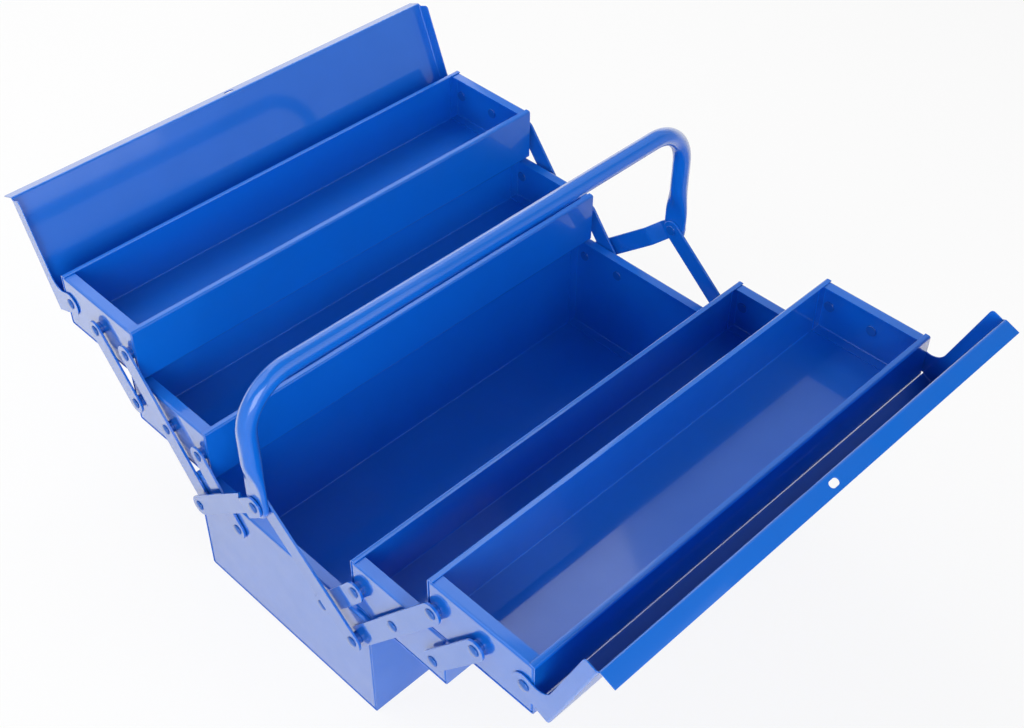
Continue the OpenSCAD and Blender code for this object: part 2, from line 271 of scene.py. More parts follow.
class HandleSettings(bpy.types.PropertyGroup):
    """Sizes of the bent tube"""

    tube: length("Tube diameter", "Outer diameter of the tube", 15 * MM)
    rise: length("Grip height", "Height of the grip's middle above the pivots", 109.5 * MM)
    bend: length("Bend radius", "Radius of the bends, along the middle of the tube", 40 * MM)
    flat_width: length("Flat width", "Width of the flattened ends", 22 * MM)
    flat: length("Flat thickness", "Thickness of the flattened ends", 5 * MM)
    flat_rise: length("Flat height", "Height of the flat above the pivot", 15 * MM)
    taper: length("Taper length", "Length over which the tube goes from round to flat", 30 * MM)
    play: length("Play", "Free space between the links and the flattened ends", 0.4 * MM)


class EnamelSettings(bpy.types.PropertyGroup):
    """Colours and gloss of the blue enamel"""

    sheet: colour("Sheet colour", "Colour of the enamel on the sheet", (0.0025, 0.15, 0.68))
    arm: colour("Arm colour", "Colour of the enamel on the arms and links", (0.003, 0.145, 0.65))
    rivet: colour("Rivet colour", "Colour of the enamel on the rivets", (0.003, 0.11, 0.5))
    handle: colour("Handle colour", "Colour of the enamel on the handle", (0.003, 0.15, 0.68))
    roughness: factor("Roughness", "Roughness of the enamel under its gloss", 0.35)
    gloss: factor("Gloss roughness", "Roughness of the gloss itself", 0.07)
    peel: factor("Orange peel", "Depth of the orange peel in the enamel", 0.1)


class StageSettings(bpy.types.PropertyGroup):
    """Floor, lamps and camera"""

    floor: colour("Floor colour", "Colour of the pale floor", (0.92, 0.92, 0.92))
    floor_size: length("Floor size", "Side of the square floor", 12)
    floor_glow: factor("Floor brightness", "How evenly white the camera sees the floor", 0.86)
    floor_gloss: factor("Floor in the gloss", "How evenly white the gloss shows the floor beside the box", 0.07)
    sky: factor("Sky strength", "Strength of the even light from all round", 0.02)
    ceiling: factor("Ceiling brightness", "How bright the gloss shows the room above the backdrop", 0.1)
    key: power("Key lamp", "Power of the lamp on the right side", 6.2)
    key_place: place_of("Key place", "Where the lamp on the right side hangs", (0.1, -1.18, 0.92))
    front: power("Front lamp", "Power of the low lamp beside the camera", 28)
    front_place: place_of("Front place", "Where the low lamp beside the camera stands", (-1.41, -1.45, 0.81))
    side: power("Side lamp", "Power of the lamp on the left side", 9)
    side_place: place_of("Side place", "Where the lamp on the left side hangs", (-0.77, 0.65, 1.11))
    back: power("Back lamp", "Power of the lamp behind the box", 10)
    back_place: place_of("Back place", "Where the lamp behind the box hangs", (0.31, 0.95, 1.11))
    far: power("Far lamp", "Power of the lamp beyond the far end", 3.6)
    far_place: place_of("Far place", "Where the lamp beyond the far end hangs", (1.0, 0.09, 1.11))
    lamp_size: length("Lamp size", "Side of the square lamps", 1.2)
    camera: place_of("Camera place", "Where the camera stands", (-0.5956, -0.6143, 0.9501))
    target: place_of("Camera target", "The point in the middle of the picture", (0.028, 0.0004, 0.1296))
    roll: FloatProperty(
        name="Camera roll", description="Turn of the camera about its view",
        default=math.radians(0.62), subtype="ANGLE",
    )
    lens: FloatProperty(name="Lens", description="Focal length", default=52.07, unit="CAMERA")


# ------------------------------------------------------------------ modelling steps


def start_clean():
    """Leaves edit mode and deselects everything."""
    if bpy.context.mode != "OBJECT":
        bpy.ops.object.mode_set(mode="OBJECT")
    bpy.ops.object.select_all(action="DESELECT")


def only(piece):
    """Makes a piece the one that is active and selected."""
    start_clean()
    piece.select_set(True)
    bpy.context.view_layer.objects.active = piece
    return piece


def name_new(name):
    """Names the new primitive and puts its place into its mesh."""
    piece = bpy.context.object
    piece.name = name
    piece.data.name = name
    bpy.ops.object.transform_apply(location=True, rotation=True, scale=True)
    return piece


def dot(name, point):
    """A single selected vertex in edit mode, to draw from."""
    start_clean()
    bpy.ops.mesh.primitive_plane_add(size=MM, location=point)
    piece = name_new(name)
    edit(piece)
    bpy.ops.mesh.select_mode(type="VERT")
    select_everything()
    bpy.ops.mesh.merge(type="CENTER")
    return piece


def place(piece, matrix):
    """Moves a piece and puts its new place into its mesh."""
    only(piece)
    piece.matrix_world = matrix
    bpy.ops.object.transform_apply(location=True, rotation=True, scale=True)
    return piece


def edit(piece):
    """Opens a piece in edit mode."""
    only(piece)
    bpy.ops.object.mode_set(mode="EDIT")


def block(node, name):
    """A block that fills a node's box, open in edit mode, and the box's two corners."""
    low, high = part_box(node)
    start_clean()
    bpy.ops.mesh.primitive_cube_add(size=1, location=(low + high) / 2, scale=high - low)
    piece = name_new(name)
    edit(piece)
    return piece, low, high


def middle(part):
    """The middle of a face, an edge or a vertex."""
    if isinstance(part, bmesh.types.BMVert):
        return part.co
    return sum((v.co for v in part.verts), Vector()) / len(part.verts)


def pick(kind, test):
    """In edit mode, selects only the vertices, edges or faces that pass a test."""
    bpy.ops.mesh.select_mode(type=kind)
    bpy.ops.mesh.select_all(action="DESELECT")
    mesh = bpy.context.edit_object.data
    parts = bmesh.from_edit_mesh(mesh)
    for part in {"VERT": parts.verts, "EDGE": parts.edges, "FACE": parts.faces}[kind]:
        if test(part):
            part.select_set(True)
    parts.select_flush_mode()
    bmesh.update_edit_mesh(mesh)


def near(a, b):
    """Whether two measures are the same."""
    return abs(a - b) < TOUCH


def along(edge, axis):
    """Whether an edge runs along an axis, given as 0, 1 or 2."""
    step = edge.verts[1].co - edge.verts[0].co
    return near(step.length, abs(step[axis]))


def select_everything():
    """In edit mode, selects the whole mesh."""
    bpy.ops.mesh.select_all(action="SELECT")


def weld(reach=TOUCH):
    """In edit mode, merges points that touch."""
    select_everything()
    bpy.ops.mesh.remove_doubles(threshold=reach)


def face_outwards():
    """In edit mode, turns the fronts of all faces outwards."""
    select_everything()
    bpy.ops.mesh.normals_make_consistent(inside=False)


def cut_across(point, normal):
    """In edit mode, puts an edge into the whole mesh along a plane."""
    select_everything()
    bpy.ops.mesh.bisect(plane_co=point, plane_no=normal)


def extrude(step):
    """Draws what is selected out by a step."""
    bpy.ops.mesh.extrude_region_move(TRANSFORM_OT_translate={"value": tuple(step)})


def sweep(angle, centre, axis, steps):
    """Spins what is selected about an axis by the right-hand rule, which the spin operator turns round."""
    bpy.ops.mesh.spin(steps=steps, angle=-angle, center=centre, axis=axis)


def round_edges(radius, segments):
    """Rounds the selected edges."""
    bpy.ops.mesh.bevel(offset=radius, segments=segments, affect="EDGES")


def apply(piece, kind, **settings):
    """Adds a modifier to a piece and applies it."""
    only(piece)
    modifier = piece.modifiers.new(kind.title(), kind)
    for key, value in settings.items():
        setattr(modifier, key, value)
    bpy.ops.object.modifier_apply(modifier=modifier.name)


def cut(piece, cutter):
    """Cuts a closed cutter out of a piece and deletes the cutter."""
    apply(piece, "BOOLEAN", operation="DIFFERENCE", object=cutter, solver="EXACT")
    bpy.data.objects.remove(cutter, do_unlink=True)


def bore_radius():
    """Radius of the holes that the rivets' shanks go through."""
    rivet = bpy.context.scene.tool_box_rivet
    return rivet.shank / 2 + rivet.fit


def drill(piece, points, depth):
    """Drills a rivet's hole along X at each point."""
    for point in points:
        start_clean()
        bpy.ops.mesh.primitive_cylinder_add(
            vertices=HOLE_SIDES, radius=bore_radius(), depth=depth, location=point, rotation=(0, QUARTER, 0)
        )
        cut(piece, name_new("drill"))


def give_thickness(piece, thickness, offset):
    """Gives a folded surface the thickness of its sheet, inwards for an offset of -1."""
    apply(piece, "SOLIDIFY", thickness=thickness, offset=offset, use_even_offset=True)


def finish_edges(piece, width, segments=EDGE_STEPS):
    """Rounds the cut edges under the enamel and shades the flats flat."""
    only(piece)
    bpy.ops.object.shade_smooth()
    apply(
        piece, "BEVEL", width=width, segments=segments, limit_method="ANGLE",
        angle_limit=CUT_TURN, use_clamp_overlap=True,
    )
    apply(piece, "WEIGHTED_NORMAL", mode="FACE_AREA", weight=100, keep_sharp=False)


def copy_to(piece, name, matrix):
    """A copy with its own mesh in another place."""
    only(piece)
    bpy.ops.object.duplicate(linked=False)
    twin = bpy.context.object
    twin.name = name
    twin.data.name = name
    return place(twin, matrix)


def join(name, pieces):
    """Makes one piece of several."""
    only(pieces[0])
    for piece in pieces:
        piece.select_set(True)
    if len(pieces) > 1:
        bpy.ops.object.join()
    piece = bpy.context.object
    piece.name = name
    piece.data.name = name
    return piece


def fit_out(piece, node, finish):
    """Paints a piece, lets it ride with its node's body and stand for that node."""
    piece.data.materials.clear()
    piece.data.materials.append(enamel(finish))
    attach(piece, frame["nodes"][node]["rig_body"])
    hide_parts(node)
    start_clean()


# ------------------------------------------------------------------ enamel


def new_group(name, inputs, outputs):
    """A node group with named sockets, each given as (name, type, default)."""
    group = bpy.data.node_groups.new(name, "ShaderNodeTree")
    for socket_name, kind, value in inputs:
        socket = group.interface.new_socket(socket_name, in_out="INPUT", socket_type="NodeSocket" + kind)
        socket.default_value = value
    for socket_name, kind in outputs:
        group.interface.new_socket(socket_name, in_out="OUTPUT", socket_type="NodeSocket" + kind)
    return group, group.nodes.new("NodeGroupInput"), group.nodes.new("NodeGroupOutput")


def add(tree, kind, settings=None, links=None, values=None):
    """Adds a node, sets its options and plain values and links its inputs."""
    node = tree.nodes.new("ShaderNode" + kind)
    for key, value in (settings or {}).items():
        setattr(node, key, value)
    for socket, value in (values or {}).items():
        node.inputs[socket].default_value = value
    for socket, source in (links or {}).items():
        tree.links.new(source, node.inputs[socket])
    return node


def remap(tree, value, source, target):
    """Maps one range of a value onto another."""
    ends = {"From Min": source[0], "From Max": source[1], "To Min": target[0], "To Max": target[1]}
    return add(tree, "MapRange", links={"Value": value}, values=ends).outputs["Result"]


def reckon(tree, operation, first, second):
    """Does a sum on an output and on either a second output or a plain number."""
    node = add(tree, "Math", {"operation": operation}, {0: first})
    if isinstance(second, bpy.types.NodeSocket):
        tree.links.new(second, node.inputs[1])
    else:
        node.inputs[1].default_value = second
    return node.outputs["Value"]


def sprayed_surface():
    """Shared by all enamels: orange peel, the slow waves of thin sheet and paint that varies a little."""
    name = "Sprayed surface"
    if name in bpy.data.node_groups:
        return bpy.data.node_groups[name]
    group, inside, out = new_group(
        name,
        [
            ("Colour", "Color", (0, 0, 1, 1)),
            ("Deep colour", "Color", (0, 0, 0.5, 1)),
            ("Peel", "Float", 0.1),
            ("Waves", "Float", 0.1),
            ("Roughness", "Float", 0.3),
        ],
        [("Colour", "Color"), ("Roughness", "Float"), ("Normal", "Vector")],
    )
    spot = add(group, "TexCoord").outputs["Object"]
    waves, peel, drift = (
        add(group, "TexNoise", links={"Vector": spot}, values={"Scale": scale, "Detail": detail}).outputs["Fac"]
        for scale, detail in (WAVE_NOISE, PEEL_NOISE, DRIFT_NOISE)
    )
    smudge = remap(group, drift, DRIFT_IN_GLOSS, GLOSS_DRIFT)
    rough = reckon(group, "MULTIPLY", smudge, inside.outputs["Roughness"])
    thin = remap(group, drift, DRIFT_IN_COLOUR, COLOUR_DRIFT)
    tint = add(
        group, "Mix", {"data_type": "RGBA"},
        {"Factor": thin, "A": inside.outputs["Colour"], "B": inside.outputs["Deep colour"]},
    )
    slow = add(
        group, "Bump", links={"Height": waves, "Strength": inside.outputs["Waves"]},
        values={"Distance": WAVE_DEPTH},
    )
    fine = add(
        group, "Bump",
        links={"Height": peel, "Strength": inside.outputs["Peel"], "Normal": slow.outputs["Normal"]},
        values={"Distance": PEEL_DEPTH},
    )
    group.links.new(tint.outputs["Result"], out.inputs["Colour"])
    group.links.new(rough, out.inputs["Roughness"])
    group.links.new(fine.outputs["Normal"], out.inputs["Normal"])
    return group


ENAMELS = {
    "sheet_paint": ("sheet", 0.10),
    "arm_paint": ("arm", 0.05),
    "rivet_paint": ("rivet", 0.0),
    "handle_paint": ("handle", 0.0),
}


def enamel(finish):
    """The enamel of one material slot, made once."""
    tone, waves = ENAMELS[finish]
    name = tone + "_enamel"
    if name in bpy.data.materials:
        return bpy.data.materials[name]
    settings = bpy.context.scene.tool_box_enamel
    paint = Vector(getattr(settings, tone))
    material = bpy.data.materials.new(name)
    material.use_nodes = True
    tree = material.node_tree
    shader = tree.nodes["Principled BSDF"]
    surface = add(tree, "Group", {"node_tree": sprayed_surface()}, values={
        "Colour": (*paint, 1),
        "Deep colour": (*(paint * DEEP_SHARE), 1),
        "Peel": settings.peel,
        "Waves": waves,
        "Roughness": settings.roughness,
    })
    tree.links.new(surface.outputs["Colour"], shader.inputs["Base Color"])
    tree.links.new(surface.outputs["Roughness"], shader.inputs["Roughness"])
    tree.links.new(surface.outputs["Normal"], shader.inputs["Normal"])
    slant = add(tree, "LayerWeight")
    gloss = remap(tree, slant.outputs["Facing"], SLANTS, GLOSS_SHARES)
    tree.links.new(gloss, shader.inputs["Coat Weight"])
    shader.inputs["IOR"].default_value = BODY_IOR
    shader.inputs["Coat IOR"].default_value = GLOSS_IOR
    shader.inputs["Coat Roughness"].default_value = settings.gloss
    return material


# ------------------------------------------------------------------ channels and end plates


class TOOLBOX_OT_channels(bpy.types.Operator):
    """Folds the base and the four trays: a floor, two long walls and their turned-in rims"""

    bl_idname = "toolbox.channels"
    bl_label = "Base and tray channels"

    def fold(self, node, sheet):
        """Folds one channel from the box of its node."""
        piece, low, high = block(node, node + "_sheet")
        pick("FACE", lambda f: f.normal.z > FACING or abs(f.normal.x) > FACING)
        bpy.ops.mesh.delete(type="FACE")
        walls = {low.y: 1, high.y: -1}
        for wall, inwards in walls.items():
            pick("EDGE", lambda e: near(middle(e).z, high.z) and near(middle(e).y, wall))
            extrude(ACROSS * inwards * sheet.rim)
        pick("EDGE", lambda e: along(e, 0) and any(near(middle(e).y, wall) for wall in walls))
        round_edges(sheet.fold, FOLD_STEPS)
        give_thickness(piece, sheet.thickness, -1)
        finish_edges(piece, sheet.edge)
        fit_out(piece, node, "sheet_paint")

    def execute(self, context):
        sheet = context.scene.tool_box_sheet
        self.fold("base_channel", sheet)
        for side in SIDES:
            self.fold(f"lower_{side}_channel", sheet)
            self.fold(f"upper_{side}_channel", sheet)
        return {"FINISHED"}


class TOOLBOX_OT_end_plates(bpy.types.Operator):
    """Presses the end plates of the base and the trays, with a flange all round each"""

    bl_idname = "toolbox.end_plates"
    bl_label = "End plates"

    def press(self, node, end, holes, sheet):
        """Presses one end plate from the box of its node, its flange turned away from the end it closes."""
        piece, low, high = block(node, node + "_plate")
        pick("FACE", lambda f: f.normal.x * end < -FACING)
        bpy.ops.mesh.delete(type="FACE")
        outside = high.x if end > 0 else low.x
        corner = sheet.fold - sheet.thickness / 2
        pick("EDGE", lambda e: along(e, 0))
        bpy.ops.transform.edge_bevelweight(value=corner / sheet.press)
        pick("EDGE", lambda e: all(near(v.co.x, outside) for v in e.verts))
        bpy.ops.transform.edge_bevelweight(value=1)
        apply(piece, "BEVEL", width=sheet.press, segments=FOLD_STEPS, limit_method="WEIGHT")
        give_thickness(piece, sheet.thickness, -1)
        drill(piece, [Vector((outside, hole.y, hole.z)) for hole in holes], 4 * sheet.thickness)
        finish_edges(piece, sheet.edge)
        fit_out(piece, node, "sheet_paint")

    def execute(self, context):
        sheet = context.scene.tool_box_sheet
        base_holes = paired_points("base_inner") + paired_points("base_outer")
        for end, x in ENDS.items():
            self.press(f"base_end_{end}", x, base_holes, sheet)
            for side, y in SIDES.items():
                lower = side_points(y, "lower_inner", "lower_mid", "lower_outer")
                upper = side_points(y, "upper_inner", "upper_mid", "lid")
                self.press(f"lower_{side}_end_{end}", x, lower, sheet)
                self.press(f"upper_{side}_end_{end}", x, upper, sheet)
        return {"FINISHED"}


# ------------------------------------------------------------------ lids


class TOOLBOX_OT_lids(bpy.types.Operator):
    """Folds the two lids, with their skirts, cheeks and slotted upstands"""

    bl_idname = "toolbox.lids"
    bl_label = "Lids"

    def sizes(self, lid, sheet):
        """The lid's places when it is shut, from its pivot, in the middle of its sheet."""
        pin = pivot("lid_left_swing")
        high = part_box("upper_left_channel")[1]
        wall_out = high.y - pin.y
        under = math.hypot(wall_out, high.z - pin.z) + lid.swing_gap
        half = sheet.thickness / 2
        swing = upper_limit("lid_left_swing")
        skirt_face = wall_out + lid.side_gap + sheet.thickness
        free_face = lid.meet_gap / 2 - pivot("trays_left_swing").y
        return {
            "pin": pin,
            "swing": swing,
            "end": high.x + lid.end_gap + half,
            "under": under,
            "top": under + half,
            "skirt": skirt_face - half,
            "free": free_face + half,
            "strip_start": free_face + lid.setback,
            "skirt_low": (wall_out + lid.stop_gap - skirt_face * math.cos(swing)) / math.sin(swing),
            "strip_low": under + sheet.thickness - lid.cheek,
        }

    def stroke(self, *points):
        """Draws straight lines from the selected vertex to each point in turn."""
        for point in points:
            parts = bmesh.from_edit_mesh(bpy.context.edit_object.data)
            start = next(v.co.copy() for v in parts.verts if v.select)
            extrude(Vector(point) - start)

    def cheek(self, s, lid):
        """Traces the outline of the far cheek and fills it."""
        x = s["end"]
        piece = dot("cheek", (x, s["skirt"], s["top"]))
        ear_meets = -math.sqrt(lid.ear ** 2 - s["skirt"] ** 2)
        self.stroke((x, s["skirt"], s["skirt_low"]), (x, s["skirt"], ear_meets))
        low_turn = math.pi + math.atan2(ear_meets, s["skirt"])
        sweep(-low_turn, (x, 0, 0), ALONG, EAR_STEPS)
        self.stroke((x, -lid.ear, s["strip_low"] - lid.sweep))
        sweep(QUARTER, (x, -lid.ear - lid.sweep, s["strip_low"] - lid.sweep), ALONG, HOLLOW_STEPS)
        self.stroke((x, s["strip_start"] + lid.tip, s["strip_low"]))
        sweep(-QUARTER, (x, s["strip_start"] + lid.tip, s["strip_low"] + lid.tip), ALONG, TIP_STEPS)
        self.stroke((x, s["strip_start"], s["top"]))
        weld()
        bpy.ops.mesh.edge_face_add()
        return piece

    def shell(self, s, lid, sheet):
        """The far half of the top, skirt and upstand, as a surface without thickness."""
        width = s["skirt"] - s["free"]
        start_clean()
        bpy.ops.mesh.primitive_plane_add(
            size=1, location=(s["end"] / 2, s["skirt"] - width / 2, s["top"]),
        )
        piece = bpy.context.object
        piece.scale = (s["end"], width, 1)
        piece = name_new("lid_top")
        edit(piece)
        pick("EDGE", lambda e: near(middle(e).y, s["skirt"]))
        extrude(UP * (s["skirt_low"] - s["top"]))
        pick("EDGE", lambda e: near(middle(e).y, s["free"]))
        extrude(UP * (s["under"] + sheet.thickness + lid.upstand - s["top"]))
        cut_across((0, s["strip_start"], 0), ACROSS)
        return piece

    def fold(self, name, lid, sheet):
        """Folds the left lid shut about its pivot and swings it open."""
        s = self.sizes(lid, sheet)
        piece = join(name, [self.shell(s, lid, sheet), self.cheek(s, lid)])
        edit(piece)
        weld()
        face_outwards()
        pick("EDGE", lambda e: len(e.link_faces) == 2 and e.calc_face_angle() > FOLD_TURN)
        round_edges(sheet.fold - sheet.thickness / 2, FOLD_STEPS)
        apply(piece, "MIRROR", use_axis=(True, False, False), use_clip=True, merge_threshold=TOUCH)
        give_thickness(piece, sheet.thickness, 0)
        self.slot(piece, s, lid, sheet)
        drill(piece, [Vector((0, 0, 0))], 3 * s["end"])
        finish_edges(piece, sheet.edge)
        swung = Matrix.Translation((0, s["pin"].y, s["pin"].z)) @ Matrix.Rotation(-s["swing"], 4, "X")
        return place(piece, swung)

    def slot(self, piece, s, lid, sheet):
        """Cuts the padlock slot through the upstand."""
        start_clean()
        bpy.ops.mesh.primitive_cylinder_add(
            vertices=HOLE_SIDES, radius=lid.slot_height / 2, depth=6 * sheet.thickness,
            location=(0, s["free"], s["top"] + sheet.thickness / 2 + lid.upstand / 2),
            rotation=(QUARTER, math.pi / HOLE_SIDES, 0),
        )
        cutter = name_new("slot")
        edit(cutter)
        straight = lid.slot_length - lid.slot_height
        for way in (-1, 1):
            pick("VERT", lambda v: v.co.x * way > 0)
            bpy.ops.transform.translate(value=(way * straight / 2, 0, 0))
        cut(piece, cutter)

    def execute(self, context):
        scene = context.scene
        left = self.fold("lid_left_sheet", scene.tool_box_lid, scene.tool_box_sheet)
        right = copy_to(left, "lid_right_sheet", HALF_TURN)
        fit_out(left, "lid_left", "sheet_paint")
        fit_out(right, "lid_right", "sheet_paint")
        return {"FINISHED"}


# ------------------------------------------------------------------ arms and links


def strap(name, points, x_low, x_high, width):
    """A flat strap with round ends, from the first point to the last."""
    first, last = points[0], points[-1]
    span = last - first
    start_clean()
    bpy.ops.mesh.primitive_cylinder_add(vertices=STRAP_SIDES, radius=width / 2, depth=x_high - x_low)
    piece = bpy.context.object
    piece.name = name
    turn = (
        Matrix.Translation(((x_low + x_high) / 2, first.y, first.z))
        @ Matrix.Rotation(math.atan2(span.z, span.y), 4, "X")
        @ Matrix.Rotation(QUARTER, 4, "Y")
        @ Matrix.Rotation(math.pi / STRAP_SIDES, 4, "Z")
    )
    place(piece, turn)
    edit(piece)
    pick("VERT", lambda v: (v.co - first).dot(span) > 0)
    bpy.ops.transform.translate(value=tuple(span))
    return piece


def finish_strap(piece, node, holes, edge):
    """Drills a strap's holes, rounds its punched edges and lets it stand for its node."""
    drill(piece, holes, STRAP_DRILL)
    finish_edges(piece, edge, STRAP_EDGE_STEPS)
    fit_out(piece, node, "arm_paint")


class TOOLBOX_OT_arms(bpy.types.Operator):
    """Makes the twelve swing arms"""

    bl_idname = "toolbox.arms"
    bl_label = "Swing arms"

    def execute(self, context):
        straps = context.scene.tool_box_strap
        arms = {
            "long_arm": ("base_outer", "lower_mid", "upper_inner"),
            "lower_arm": ("base_inner", "lower_inner"),
            "upper_arm": ("lower_outer", "upper_mid"),
        }
        for arm, pins in arms.items():
            for side, y in SIDES.items():
                points = side_points(y, *pins)
                for end in ENDS:
                    node = f"{arm}_{side}_{end}"
                    low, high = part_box(node)
                    piece = strap(node + "_strap", points, low.x, high.x, straps.width)
                    holes = [Vector(((low.x + high.x) / 2, p.y, p.z)) for p in points]
                    finish_strap(piece, node, holes, straps.edge)
        return {"FINISHED"}


class TOOLBOX_OT_links(bpy.types.Operator):
    """Makes the links that carry the handle, the outer ones stepped past its flat ends"""

    bl_idname = "toolbox.links"
    bl_label = "Handle links"

    def joggle(self, points, step, straps):
        """Steps the upper end of a link outwards, past the handle's flat end."""
        down = (points[1] - points[0]).normalized()
        bends = (straps.joggle_start, straps.joggle_start + straps.joggle)
        for bend in bends:
            cut_across(points[0] + down * bend, down)
        pick("VERT", lambda v: (v.co - points[0]).dot(down) < bends[0] + TOUCH)
        bpy.ops.transform.translate(value=(step, 0, 0))

        def on_bend(edge):
            """Whether an edge runs straight across the link at a bend."""
            flat = near(edge.verts[0].co.x, edge.verts[1].co.x)
            return flat and all(
                any(near((v.co - points[0]).dot(down), bend) for bend in bends) for v in edge.verts
            )

        pick("EDGE", on_bend)
        round_edges(straps.bend, JOGGLE_STEPS)

    def execute(self, context):
        straps = context.scene.tool_box_strap
        for end, x in ENDS.items():
            inner_low, inner_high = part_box(f"link_right_{end}")
            outer_low, outer_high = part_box(f"link_left_{end}")
            out = outer_high.x - inner_high.x if x > 0 else outer_low.x - inner_low.x
            for side, step in (("left", out), ("right", 0)):
                node = f"link_{side}_{end}"
                points = side_points(SIDES[side], "apex", "base_outer")
                piece = strap(node + "_strap", points, inner_low.x, inner_high.x, straps.width)
                if step:
                    self.joggle(points, step, straps)
                bpy.ops.object.mode_set(mode="OBJECT")
                middle_x = (inner_low.x + inner_high.x) / 2
                holes = [Vector((middle_x + shift, p.y, p.z)) for p, shift in zip(points, (step, 0))]
                finish_strap(piece, node, holes, straps.edge)
        return {"FINISHED"}


# ------------------------------------------------------------------ handle


class TOOLBOX_OT_handle(bpy.types.Operator):
    """Bends the tube of the handle and presses its ends flat"""

    bl_idname = "toolbox.handle"
    bl_label = "Handle"

    def flat_point(self, turn, handle):
        """Where a point of the round tube, given by its turn from +Y, goes on the flattened oval."""
        share = abs(math.asin(math.sin(turn))) / QUARTER
        cap = handle.flat / 2
        straight = handle.flat_width / 2 - cap
        if share < FLAT_EDGE_SHARE:
            bend = share / FLAT_EDGE_SHARE * QUARTER
            y, x = straight + cap * math.cos(bend), cap * math.sin(bend)
        else:
            y, x = straight * (1 - (share - FLAT_EDGE_SHARE) / (1 - FLAT_EDGE_SHARE)), cap
        return math.copysign(x, math.sin(turn)), math.copysign(y, math.cos(turn))

    def press(self, piece, leg_x, apex, handle):
        """Presses the lower end of the tube flat and rounds it off below its pivot."""
        flat_top = apex.z + handle.flat_rise
        for vertex in piece.data.vertices:
            depth = flat_top + handle.taper - vertex.co.z
            if depth <= 0 or vertex.co.x < leg_x - handle.tube:
                continue
            share = min(1, depth / handle.taper)
            share = share * share * (3 - 2 * share)
            x, y = vertex.co.x - leg_x, vertex.co.y
            flat_x, flat_y = self.flat_point(math.atan2(x, y), handle)
            x += (flat_x - x) * share
            y += (flat_y - y) * share
            below = (apex.z - vertex.co.z) / (handle.flat_width / 2)
            if below > 0:
                y *= math.sqrt(max(0, 1 - below * below))
            vertex.co = (leg_x + x, y, vertex.co.z)

    def execute(self, context):
        handle = context.scene.tool_box_handle
        apex = pivot("handle_tilt")
        leg_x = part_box("link_right_far")[1].x + handle.play + handle.flat / 2
        grip_z = apex.z + handle.rise
        bend_x = leg_x - handle.bend
        start_clean()
        bpy.ops.mesh.primitive_circle_add(
            vertices=TUBE_SIDES, radius=handle.tube / 2, location=(0, 0, grip_z), rotation=(0, QUARTER, 0)
        )
        piece = name_new("handle_bent_tube")
        edit(piece)
        select_everything()
        extrude((bend_x, 0, 0))
        sweep(QUARTER, (bend_x, 0, grip_z - handle.bend), ACROSS, BEND_STEPS)
        taper_top = apex.z + handle.flat_rise + handle.taper
        extrude(UP * (taper_top - grip_z + handle.bend))
        for _ in range(TAPER_STEPS):
            extrude(UP * -handle.taper / TAPER_STEPS)
        extrude(UP * -handle.flat_rise)
        radius = handle.flat_width / 2
        for upper, lower in zip(TUBE_END_TURNS, TUBE_END_TURNS[1:]):
            extrude(UP * -radius * (math.sin(lower) - math.sin(upper)))
        bpy.ops.mesh.edge_face_add()
        bpy.ops.object.mode_set(mode="OBJECT")
        self.press(piece, leg_x, apex, handle)
        apply(piece, "MIRROR", use_axis=(True, False, False), use_clip=True, merge_threshold=TOUCH)
        edit(piece)
        face_outwards()
        bpy.ops.object.mode_set(mode="OBJECT")
        drill(piece, [Vector((end * leg_x, apex.y, apex.z)) for end in ENDS.values()], 3 * handle.flat)
        only(piece)
        bpy.ops.object.shade_smooth_by_angle(angle=SHARP_TUBE)
        fit_out(piece, "handle_tube", "handle_paint")
        return {"FINISHED"}


# ------------------------------------------------------------------ rivets


